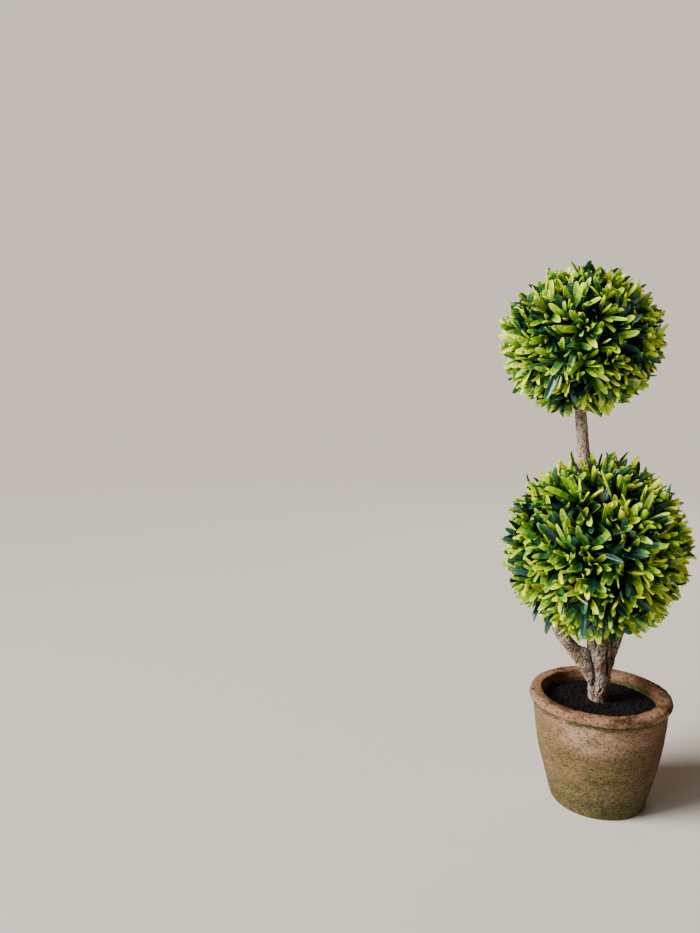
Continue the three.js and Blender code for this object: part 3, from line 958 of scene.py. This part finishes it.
def clay_material(settings):
    """Aged clay: an olive tan wall with a pink chalky bloom, a redder rim worn at its inner edge, green
    algae, fine dirt, pits and a few pale specks."""
    material, tree, shader = new_tree("Aged clay")
    place = tree.place()
    height = tree.add("ShaderNodeSeparateXYZ", {"Vector": place}).outputs["Z"]
    high = tree.mask(height, 54 * MM, 76 * MM)
    bloom = clay_bloom(tree, place, high)
    rim = tree.mask(height, GROOVE_HEIGHT - 0.5 * MM, GROOVE_HEIGHT + 1.5 * MM)
    wall = clay_wall(tree, place, bloom, high, settings)
    body = tree.tint(rim, wall, clay_rim(tree, place, settings))
    worn = tree.times(tree.attribute("wear"), tree.noise(60, 0.36, 0.66, shift=15))
    body = tree.tint(worn, body, settings.worn)
    body = tree.tint(tree.times(clay_green(tree, place, height), 0.8), body, settings.algae)

    grains = tree.times(tree.noise(480, 0.5, 0.66, shift=37, detail=3, stretch=1.8), 0.32)
    body = tree.tint(grains, body, settings.grain)
    dirt = tree.noise(430, 0.53, 0.63, shift=41, stretch=1.7)
    dirty = tree.minus(0.66, tree.times(bloom, 0.4))
    dirty = tree.times(dirty, tree.noise(40, 0.22, 0.55, shift=45, stretch=1.5))
    body = tree.tint(tree.times(dirt, dirty), body, settings.pit)
    fine_dirt = tree.times(tree.noise(900, 0.5, 0.68, shift=43, detail=3, stretch=1.5), 0.34)
    body = tree.tint(fine_dirt, body, settings.pit)
    pits = tree.times(tree.mask(tree.attribute("pit"), 0.1, 0.6), 0.7)
    body = tree.tint(pits, body, settings.pit)
    specks = tree.times(tree.noise(260, 0.74, 0.77, shift=47, detail=2), 0.7)
    body = tree.tint(specks, body, settings.speck)
    tree.links.new(body, shader.inputs["Base Color"])
    gloss = tree.arithmetic("ADD", 0.74, tree.times(bloom, 0.2))
    tree.links.new(gloss, shader.inputs["Roughness"])
    shader.inputs["Specular IOR Level"].default_value = 0.14
    sand = tree.grain(230, shift=53, detail=5, stretch=1.6)
    grain = tree.grain(700, shift=51)
    pores = tree.inverse(dirt)
    tree.bump(shader, [(sand, 1.4 * MM, 0.6), (grain, 0.6 * MM, 0.5), (pores, 0.5 * MM, 0.8)])
    return material


def bark_material(settings):
    """Bark: grey-beige plates with warmer patches and fine grain, brown wrinkles that are partly the
    bark's own colour and partly painted shade, and near-black painted shade in the cracks and the seams
    between limbs. The stem between the balls has less of the warm brown, as painted light against the
    shadow of the upper ball."""
    material, tree, shader = new_tree("Bark")
    furrow = tree.attribute("furrow")
    height = tree.add("ShaderNodeSeparateXYZ", {"Vector": tree.place()}).outputs["Z"]
    # Painted light: the stem between the balls loses some of the warm brown, to stand paler against the
    # shadow of the upper ball.
    stem_painted_light = tree.times(tree.mask(height, 250 * MM, 300 * MM), 0.6)
    body = tree.tint(tree.noise(190, 0.36, 0.62), settings.plate, settings.pale_plate)
    warm = tree.times(tree.noise(70, 0.46, 0.64, shift=3), tree.inverse(stem_painted_light))
    body = tree.tint(warm, body, settings.warm)
    fine = tree.times(tree.noise(760, 0.46, 0.62, shift=9, detail=3), 0.55)
    body = tree.tint(fine, body, settings.wrinkle)
    # Partly painted shade: the bark turns darker brown where it lies deep in wrinkles and furrows.
    body = tree.tint(tree.mask(furrow, 0.12, 0.6), body, settings.wrinkle)
    # Painted shade: cracks, seams and the deepest furrows are near black.
    body = tree.tint(tree.mask(furrow, 0.55, 0.9), body, settings.crack_shade)
    tree.links.new(body, shader.inputs["Base Color"])
    shader.inputs["Roughness"].default_value = 0.86
    shader.inputs["Specular IOR Level"].default_value = 0.3
    fibres = tree.grain(480, shift=19)
    tree.bump(shader, [(fibres, 0.7 * MM, 0.5), (tree.grain(1300, shift=15), 0.3 * MM, 0.5)])
    return material


def soil_material(settings):
    """Nearly black soil with brown crumbs."""
    material, tree, shader = new_tree("Dark soil")
    body = tree.tint(tree.noise(420, 0.5, 0.75), settings.soil, settings.crumb)
    tree.links.new(body, shader.inputs["Base Color"])
    shader.inputs["Roughness"].default_value = 0.9
    shader.inputs["Specular IOR Level"].default_value = 0.2
    tree.bump(shader, [(tree.grain(1000, shift=5, detail=5), 0.8 * MM, 0.8)])
    return material


# Root, middle and tip colours of each family of leaves, and where along the leaf the middle lies. The dark
# roots are partly the leaves' own colour and partly painted shade deep in the sprigs.
LEAF_FAMILIES = [
    ("old", "051918", "0c2b25", "22522a", 0.72),
    ("grown", "06201a", "2e611f", "94b81e", 0.7),
    ("bright", "0a2a1c", "6a9814", "bcd81e", 0.62),
    ("golden", "1a3614", "929e12", "c8c81e", 0.62),
    ("sunned", "1a461e", "9cbc16", "d4e22a", 0.57),
    ("young", "4f7c1e", "aac818", "d6e838", 0.52),
]
# Where along the leaf the root's colour ends and the tip's begins
ROOT_COLOUR_END = 0.27
TIP_COLOUR_START = 0.95
# The colours are blended along straight lines after a root of this power, so that the steps look even
LEAF_BLEND_POWER = 2.2
# Share of each family among the inner, middle and outer leaves of a sprig. The outer leaves, which lie
# lowest and deepest, get the darkest families and the inner ones the brightest: partly leaves of their own
# colours and partly painted shade and light.
LEAF_CHANCES = [
    (0.0, 0.1, 0.3, 0.1, 0.3, 0.2),
    (0.17, 0.28, 0.29, 0.05, 0.21, 0.0),
    (0.53, 0.32, 0.11, 0.02, 0.02, 0.0),
]


def leaf_materials(settings):
    """One plain material for each family and row of a leaf: the colour runs from root to middle to tip,
    dark at the root partly as painted shade."""
    gloss = {"Specular IOR Level": 0.85, "Specular Tint": (*settings.sheen, 1)}
    materials = []
    for name, *codes, middle in LEAF_FAMILIES:
        stops = (ROOT_COLOUR_END, middle, TIP_COLOUR_START)
        colours = np.array([linear(code) for code in codes]) ** (1 / LEAF_BLEND_POWER)
        for row in range(len(LEAF_ROWS)):
            t = LEAF_ROWS[row:row + 2].mean()
            colour = np.array([np.interp(t, stops, channel) for channel in colours.T]) ** LEAF_BLEND_POWER
            colour = np.clip(colour * settings.leaf_brightness, 0, 1)
            title = f"Leaf {name} {row + 1}"
            materials.append(plain_material(title, colour, settings.leaf_roughness, **gloss))
    return materials


# Settings

def length_property(name, description, default):
    return FloatProperty(
        name=name, description=description, default=default, min=0, subtype="DISTANCE", unit="LENGTH"
    )


def number_property(name, description, default, **limits):
    return FloatProperty(name=name, description=description, default=default, min=0, **limits)


def count_property(name, description, default, least):
    return IntProperty(name=name, description=description, default=default, min=least)


def colour_property(name, description, code):
    return FloatVectorProperty(
        name=name, description=description, default=linear(code), min=0, max=1, size=3, subtype="COLOR"
    )


class PotSettings(bpy.types.PropertyGroup):
    """Relief and colours of the clay pot and its soil."""

    pit_depth: length_property("Pit depth", "Depth of the pits in the clay", 0.5 * MM)
    dent_depth: length_property("Dent depth", "Unevenness of the hand-made wall", 0.5 * MM)
    chip_depth: length_property("Chip depth", "Depth of the worn places of the rim", 0.6 * MM)
    clay: colour_property("Clay", "Main colour of the wall", "786346")
    olive: colour_property("Olive", "Olive patches of the wall", "5b5030")
    sand: colour_property("Sand", "Sandy patches", "846c45")
    salmon: colour_property("Salmon", "Pink patches", "8f6850")
    rim: colour_property("Rim", "Colour of the rim", "95745c")
    bloom: colour_property("Bloom", "Chalky bloom", "b99c88")
    grain: colour_property("Grain", "Pale sandy grains", "a58f66")
    # Also partly painted shade on the right side of the wall.
    umber: colour_property("Umber", "Dark brown patches", "462e1d")
    worn: colour_property("Worn", "Red clay where the surface is worn", "6c4229")
    algae: colour_property("Algae", "Green growth", "37411f")
    pit: colour_property("Pit", "Dirt in the pits", "35291a")
    speck: colour_property("Speck", "Pale specks", "d8d0c4")
    soil: colour_property("Soil", "Main colour of the soil", "060505")
    crumb: colour_property("Crumb", "Lighter crumbs in the soil", "17130f")


class BarkSettings(bpy.types.PropertyGroup):
    """Relief and colours of the bark."""

    bark_height: length_property("Bark height", "How far the bark stands out of the plain limb", 0.5 * MM)
    knob_height: length_property("Knob height", "Height of the small knobs", 1 * MM)
    ridge_height: length_property("Ridge height", "Height of the ridges along the limb", 0.65 * MM)
    furrow_depth: length_property("Furrow depth", "Depth of the furrows along the limb", 0.75 * MM)
    wrinkle_depth: length_property("Wrinkle depth", "Depth of the wrinkles", 0.45 * MM)
    crack_depth: length_property("Crack depth", "Depth of the open cracks", 3.4 * MM)
    plate: colour_property("Plate", "Main colour of the bark", "95877a")
    pale_plate: colour_property("Pale plate", "Weathered bark", "bdae9f")
    warm: colour_property("Warm", "Brown patches", "7a5c44")
    # Also partly painted shade deep in the wrinkles and furrows.
    wrinkle: colour_property("Wrinkle", "Bottom of the wrinkles", "54402f")
    # Painted shade: the near-black colour of the cracks, seams and deepest furrows.
    crack_shade: colour_property("Crack", "Bottom of the cracks", "1c130d")


class FoliageSettings(bpy.types.PropertyGroup):
    """Number, size and finish of the leaves."""

    lower_sprigs: count_property("Lower sprigs", "Sprigs on the lower ball", 158, 10)
    upper_sprigs: count_property("Upper sprigs", "Sprigs on the upper ball", 118, 10)
    leaves_per_sprig: count_property("Leaves per sprig", "Leaves before crowded ones are left out", 21, 2)
    leaf_length: length_property("Leaf length", "Length of a grown leaf", 32 * MM)
    leaf_width: length_property("Leaf width", "Width of a grown leaf", 5.2 * MM)
    leaf_clearance: length_property("Leaf clearance", "Least distance between middle lines", 1.85 * MM)
    leaf_brightness: number_property("Leaf brightness", "Factor on the leaf colours", 1.3)
    leaf_roughness: number_property("Leaf roughness", "Roughness of the plastic", 0.3, max=1)
    sheen: colour_property("Sheen", "Tint of the light mirrored by the leaves", "bfe8d6")
    stem: colour_property("Stem", "Colour of the twigs", "37401f")
    # Painted shade: the cores are near black to darken the depths of the balls.
    core_shade: colour_property("Foam", "Colour of the cores", "070b07")


class StageSettings(bpy.types.PropertyGroup):
    """Floor, world and lights."""

    floor: colour_property("Floor", "Colour of the floor", "dcd8d1")
    world: colour_property("World", "Colour of the surroundings", "ffd2ae")
    world_strength: number_property("World strength", "Light from all sides", 0.1)
    key_strength: number_property("Key strength", "Even light from the front left", 7.2)
    window_power: number_property("Window power", "Cool light from the left", 8, unit="POWER")
    fill_power: number_property("Fill power", "Warm light from the right", 0.3, unit="POWER")
    back_power: number_property("Back power", "Light from behind", 2.5, unit="POWER")


# Operators

def add_object(context, name, data):
    """A new object with its data, in the scene."""
    thing = bpy.data.objects.new(name, data)
    context.scene.collection.objects.link(thing)
    return thing


class TOPIARY_OT_stage(bpy.types.Operator):
    """Make the floor, the lights, the surroundings and the camera"""

    bl_idname = "topiary.stage"
    bl_label = "Stage"

    def execute(self, context):
        settings = context.scene.topiary_stage
        self.make_floor(context, settings)
        self.make_world(context, settings)
        key = bpy.data.lights.new("Key", "SUN")
        key.angle = KEY_ANGLE
        self.add_light(context, key, KEY_PLACE, (0, 0, 0), settings.key_strength, KEY_COLOUR)
        for name, place, size, power, code in SOFT_LIGHTS:
            light = bpy.data.lights.new(name, "AREA")
            light.size = size
            self.add_light(context, light, place, LIGHT_TARGET, getattr(settings, power), code)
        self.make_camera(context)
        return {"FINISHED"}

    def make_floor(self, context, settings):
        """A round floor without gloss."""
        ring = round_axis(STAGE_RADIUS, full_turn(96), 0)
        mesh = bpy.data.meshes.new("Floor")
        mesh.from_pydata(ring.tolist(), [], [list(range(len(ring)))])
        mesh.materials.append(plain_material("Floor", settings.floor, 1, **{"Specular IOR Level": 0}))
        add_object(context, "Floor", mesh)

    def make_world(self, context, settings):
        """Even surroundings. The camera sees them in the tone of the lit floor: the floor's colour
        times the light that falls on it."""
        world = bpy.data.worlds.new("Studio")
        world.use_nodes = True
        tree = Tree(world.node_tree)
        steepness = KEY_PLACE[2] / np.linalg.norm(KEY_PLACE)
        falling = np.array(settings.world) * settings.world_strength
        falling = falling + np.array(linear(KEY_COLOUR)) * settings.key_strength * steepness / np.pi
        lighting = tree.nodes["Background"]
        lighting.inputs["Color"].default_value = (*settings.world, 1)
        lighting.inputs["Strength"].default_value = settings.world_strength
        backdrop = tree.add("ShaderNodeBackground", Color=(*(np.array(settings.floor) * falling), 1))
        seen = tree.add("ShaderNodeLightPath").outputs["Is Camera Ray"]
        wires = {"Fac": seen, 1: lighting.outputs[0], 2: backdrop.outputs[0]}
        either = tree.add("ShaderNodeMixShader", wires)
        tree.links.new(either.outputs[0], tree.nodes["World Output"].inputs["Surface"])
        context.scene.world = world

    def make_camera(self, context):
        """The camera, level at first, then rolled and pitched."""
        camera = bpy.data.cameras.new("Camera")
        camera.lens = CAMERA_LENS
        camera.sensor_width = 36
        camera.clip_start = 0.02
        camera.clip_end = 50
        view = add_object(context, "Camera", camera)
        pitched = Matrix.Rotation(np.radians(90 + CAMERA_PITCH), 4, "X")
        rolled = Matrix.Rotation(np.radians(CAMERA_ROLL), 4, "Z")
        view.matrix_world = Matrix.Translation([value * MM for value in CAMERA_PLACE]) @ (pitched @ rolled)
        context.scene.camera = view

    @staticmethod
    def add_light(context, light, place, target, power, code):
        """Puts a light in its place, turned towards the target."""
        light.energy = power
        light.color = linear(code)
        place = np.array(place)
        forward = unit(np.array(target) - place)
        right = unit(np.cross(forward, (0, 0, 1)))
        turn = Matrix(np.column_stack([right, np.cross(right, forward), -forward]).tolist()).to_4x4()
        add_object(context, light.name, light).matrix_world = Matrix.Translation(place) @ turn


def signed_power(value, power):
    """A power of a value's size, with its sign."""
    return np.sign(value) * np.abs(value) ** power


def turned_corner(radius, height, wide, tall, turn):
    """Radius and height round part of an ellipse that is squared a little: the powers of its sine
    and cosine are below one."""
    roll = signed_power(np.cos(turn), 0.7)
    lift = signed_power(np.sin(turn), 0.85)
    return np.stack([radius + wide * roll, height + tall * lift], axis=-1)


def bore_radius(height):
    """The pot's inner radius at a height: it widens by a power of the height over the floor."""
    share = np.clip((height - FLOOR_HEIGHT) / (POT_HEIGHT - FLOOR_HEIGHT), 0, 1)
    return mix(FLOOR_RADIUS, MOUTH_RADIUS, share**BORE_POWER)


def pot_profile():
    """Radius and height along the pot's section, from the middle of the underside, up the tapered
    wall, round the groove and the rolled rim, across its flat top, down the bore and back to the
    axis."""
    foot = np.stack([np.linspace(0.02, 1, 6)[:-1] * (FOOT_RADIUS - FOOT_CHAMFER), np.zeros(5)], axis=-1)

    height = np.linspace(0, 1, 118) * (GROOVE_HEIGHT - 0.6 * MM)
    share = height / WALL_TOP
    radius = mix(FOOT_RADIUS, WAIST_RADIUS, share) + BELLY * np.sin(np.pi * np.minimum(share, 1))
    radius = radius - FOOT_CHAMFER * (1 - smooth(0, 2 * FOOT_CHAMFER, height)) ** 2
    wall = np.stack([radius, height], axis=-1)

    middle = mix(GROOVE_HEIGHT, POT_HEIGHT, 0.5)
    turn = np.linspace(-0.44 * np.pi, 0.5 * np.pi, 44)
    lip = turned_corner(RIM_RADIUS - LIP_WIDTH, middle, LIP_WIDTH, POT_HEIGHT - middle, turn)
    turn = np.linspace(0.5 * np.pi, np.pi, 18)[1:]
    edge_place = MOUTH_RADIUS + EDGE_RADIUS, POT_HEIGHT - EDGE_RADIUS
    edge = turned_corner(*edge_place, EDGE_RADIUS, EDGE_RADIUS, turn)
    flat = np.linspace(lip[-1], edge[0], 8)[1:-1]

    height = mix(POT_HEIGHT - EDGE_RADIUS, FLOOR_HEIGHT, np.linspace(0, 1, 16)[1:])
    bore = np.stack([bore_radius(height), height], axis=-1)
    return np.concatenate([foot, wall, lip, flat, edge, bore])


class TOPIARY_OT_pot(bpy.types.Operator):
    """Make the aged clay pot"""

    bl_idname = "topiary.pot"
    bl_label = "Pot"

    def execute(self, context):
        settings = context.scene.topiary_pot
        profile = pot_profile()
        radius, height = profile[:, :1], profile[:, 1:]
        angle = full_turn(POT_COLUMNS)
        points = round_axis(radius, angle, height)
        along = unit(np.gradient(profile, axis=0))
        normal = round_axis(along[:, 1:], angle, -along[:, :1])

        ragged = points + 0.5 * MM * cloud(points, 1.4 * MM, seed=90)[..., None]
        pit = scattered(ragged, 4.4 * MM, 0.4, 0.8 * MM, seed=100)
        pit = np.maximum(pit, scattered(ragged, 11 * MM, 0.3, 1.3 * MM, seed=130))
        chips = smooth(0.25, 0.8, cloud(points, 5 * MM, seed=160))
        chips = chips * smooth(POT_HEIGHT - 4.5 * MM, POT_HEIGHT - 0.8 * MM, height)
        relief = (
            settings.dent_depth * cloud(points, 24 * MM, seed=170)
            + 0.22 * MM * rough(points * np.array([1, 1, 1.7]), 5 * MM, 3, seed=180)
            - settings.pit_depth * pit
            - settings.chip_depth * chips
        )
        above_ground = smooth(0.5 * MM, 4 * MM, height)
        points = points + normal * (relief * above_ground)[..., None]
        ends = [(0, 0, 0), (0, 0, FLOOR_HEIGHT)]
        pot = tube_piece("clay_pot", points, ends, clay_material(settings), ["pot"])

        distance = np.linalg.norm(points[..., :2], axis=-1)
        inner = 1 - smooth(MOUTH_RADIUS + 0.5 * MM, MOUTH_RADIUS + 4.5 * MM, distance)
        past_rim = np.arange(len(profile))[:, None] > np.argmax(height)
        add_attribute(pot, "wear", np.maximum(0.8 * chips, inner * past_rim))
        add_attribute(pot, "pit", pit)
        return {"FINISHED"}


def soil_lumps(points):
    """Height of the large lumps of the soil and of its grain."""
    return 1.3 * MM * cloud(points, 11 * MM, seed=200) + 0.8 * MM * rough(points, 3 * MM, 3, seed=210)


class TOPIARY_OT_soil(bpy.types.Operator):
    """Make the filling of the pot and the crumbs on it"""

    bl_idname = "topiary.soil"
    bl_label = "Soil"

    def execute(self, context):
        material = soil_material(context.scene.topiary_pot)
        edge = bore_radius(SOIL_HEIGHT) - 0.1 * MM
        self.make_surface(edge, material)
        self.make_crumbs(edge, material)
        return {"FINISHED"}

    def make_surface(self, edge, material):
        """A disc of soil with lumps, raised a little round the trunk, and a short hidden side."""
        bottom = SOIL_HEIGHT - SOIL_DEPTH
        side = np.array([[edge - 6 * MM, bottom], [edge - 1 * MM, bottom + 1 * MM]])
        share = np.linspace(1, 0.02, 110)
        flat = np.stack([share * edge, np.full(len(share), SOIL_LEVEL)], axis=-1)
        profile = np.concatenate([side, flat])
        radius, height = profile[:, :1], profile[:, 1:]
        points = round_axis(radius, full_turn(SOIL_COLUMNS), height)
        on_top = (height > SOIL_HEIGHT - 2 * MM) * (1 - 0.4 * smooth(0.9, 1, radius / edge))
        from_trunk = np.linalg.norm(points[..., :2] - (0, TREE_DEPTH * MM), axis=-1)
        lumps = (
            soil_lumps(points)
            + 0.8 * MM * scattered(points, 4 * MM, 0.6, 1.6 * MM, seed=220)
            + 1.4 * MM * (1 - smooth(7 * MM, 14 * MM, from_trunk))
        )
        points[..., 2] += on_top * lumps
        ends = [(0, 0, bottom), (0, 0, points[-1, :, 2].mean())]
        tube_piece("soil_surface", points, ends, material, ["soil"])

    def make_crumbs(self, edge, material):
        """Uneven octahedra strewn over the surface, each sunk into it a little."""
        random = np.random.default_rng(5)
        radius = edge * np.sqrt(random.random(CRUMB_COUNT)) * 0.97
        turn = 2 * np.pi * random.random(CRUMB_COUNT)
        size = MM * (0.35 + 0.9 * random.random(CRUMB_COUNT) ** 2)
        centre = round_axis(radius, turn, SOIL_LEVEL)
        centre[:, 2] += soil_lumps(centre) + 0.4 * size
        corners = np.array([[1, 0, 0], [0, 1, 0], [-1, 0, 0], [0, -1, 0], [0, 0, 1], [0, 0, -1.0]])
        shape = corners[None] * (0.7 + 0.6 * random.random((CRUMB_COUNT, len(corners), 1)))
        crumbs = centre[:, None] + size[:, None, None] * shape
        top = [(i, (i + 1) % 4, 4) for i in range(4)]
        bottom = [((i + 1) % 4, i, 5) for i in range(4)]
        faces = repeated([np.array(top + bottom)], CRUMB_COUNT, len(corners))
        new_piece("soil_crumbs", crumbs, faces, [material])


class TOPIARY_OT_limbs(bpy.types.Operator):
    """Make the trunk and its boughs with their bark"""

    bl_idname = "topiary.limbs"
    bl_label = "Limbs"

    def execute(self, context):
        settings = context.scene.topiary_bark
        bark = bark_material(settings)
        trunk, left, right = make_limbs()
        rows = np.zeros(1)
        for end, count in TRUNK_STRETCHES:
            rows = np.concatenate([rows, np.linspace(rows[-1], end, count)[1:]])
        surface = BarkSurface(trunk, rows, TRUNK_COLUMNS, settings)
        surface.cut_cracks(TRUNK_CRACKS, settings.crack_depth)
        surface.press_seams([left, right])
        surface.make("trunk_bark", bark, "trunk")

        for side, bough, knobs in (("left", left, LEFT_BOUGH_KNOBS), ("right", right, [])):
            surface = BarkSurface(bough, np.linspace(0, 1, BOUGH_ROWS), BOUGH_COLUMNS, settings)
            surface.add_knobs(knobs)
            surface.press_seams([trunk])
            surface.make(f"{side}_bough_bark", bark, f"bough_{side}")
        return {"FINISHED"}


class TOPIARY_OT_balls(bpy.types.Operator):
    """Make the two balls of leaves"""

    bl_idname = "topiary.balls"
    bl_label = "Balls"

    def execute(self, context):
        settings = context.scene.topiary_foliage
        materials = (
            leaf_materials(settings),
            plain_material("Sprig stem", settings.stem, 0.6),
            plain_material("Foam core", settings.core_shade, 1),
        )
        limbs = make_limbs()
        self.make_ball("lower", LOWER_BALL, settings.lower_sprigs, settings, limbs, materials)
        self.make_ball("upper", UPPER_BALL, settings.upper_sprigs, settings, limbs[:1], materials)
        return {"FINISHED"}

    def make_ball(self, name, sizes, count, settings, limbs, materials):
        """One ball: its leaves in two pieces, its twigs and its core."""
        leaf, stem, core_shade = materials
        ball = Ball(**sizes)
        random = np.random.default_rng(ball.seed)
        sprigs = sprig_frames(count, random)
        leaves = grow_leaves(ball, sprigs, settings, limbs, random)
        for number, part in enumerate(np.array_split(np.arange(len(leaves["length"])), 2), 1):
            vertices, faces, band = leaf_mesh({key: value[part] for key, value in leaves.items()})
            replaces = [f"{name}_ball"] if number == 1 else []
            piece = new_piece(f"{name}_leaves_{number}", vertices, faces, leaf, band, replaces)
            sharpen_blades(piece)
        start, end = (ball.place(sprigs[0], share) for share in TWIG_SHARES)
        clear = clear_of_limbs(start, end, limbs, 1.5 * MM)
        vertices, faces = twig_mesh(start[clear], end[clear], TWIG_RADIUS)
        new_piece(f"{name}_twigs", vertices, faces, [stem])
        # The core's near-black colour is painted shade for the depths of the ball.
        make_core(f"{name}_core", ball, core_shade)


class TOPIARY_PT_panel(bpy.types.Panel):
    """Lists the steps in the sidebar"""

    bl_label = "Topiary"
    bl_space_type = "VIEW_3D"
    bl_region_type = "UI"
    bl_category = "Topiary"

    def draw(self, context):
        for step in OPERATORS:
            self.layout.operator(step.bl_idname)


SETTINGS = {
    "topiary_stage": StageSettings,
    "topiary_pot": PotSettings,
    "topiary_bark": BarkSettings,
    "topiary_foliage": FoliageSettings,
}
OPERATORS = (TOPIARY_OT_stage, TOPIARY_OT_pot, TOPIARY_OT_soil, TOPIARY_OT_limbs, TOPIARY_OT_balls)


def register():
    for kind in (*SETTINGS.values(), *OPERATORS, TOPIARY_PT_panel):
        bpy.utils.register_class(kind)
    for name, kind in SETTINGS.items():
        setattr(bpy.types.Scene, name, PointerProperty(type=kind))


def unregister():
    for name in SETTINGS:
        delattr(bpy.types.Scene, name)
    for kind in reversed((*SETTINGS.values(), *OPERATORS, TOPIARY_PT_panel)):
        bpy.utils.unregister_class(kind)


def main():
    """Registers the add-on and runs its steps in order."""
    register()
    bpy.ops.topiary.stage()
    bpy.ops.topiary.pot()
    bpy.ops.topiary.soil()
    bpy.ops.topiary.limbs()
    bpy.ops.topiary.balls()


if __name__ == "__main__":
    main()
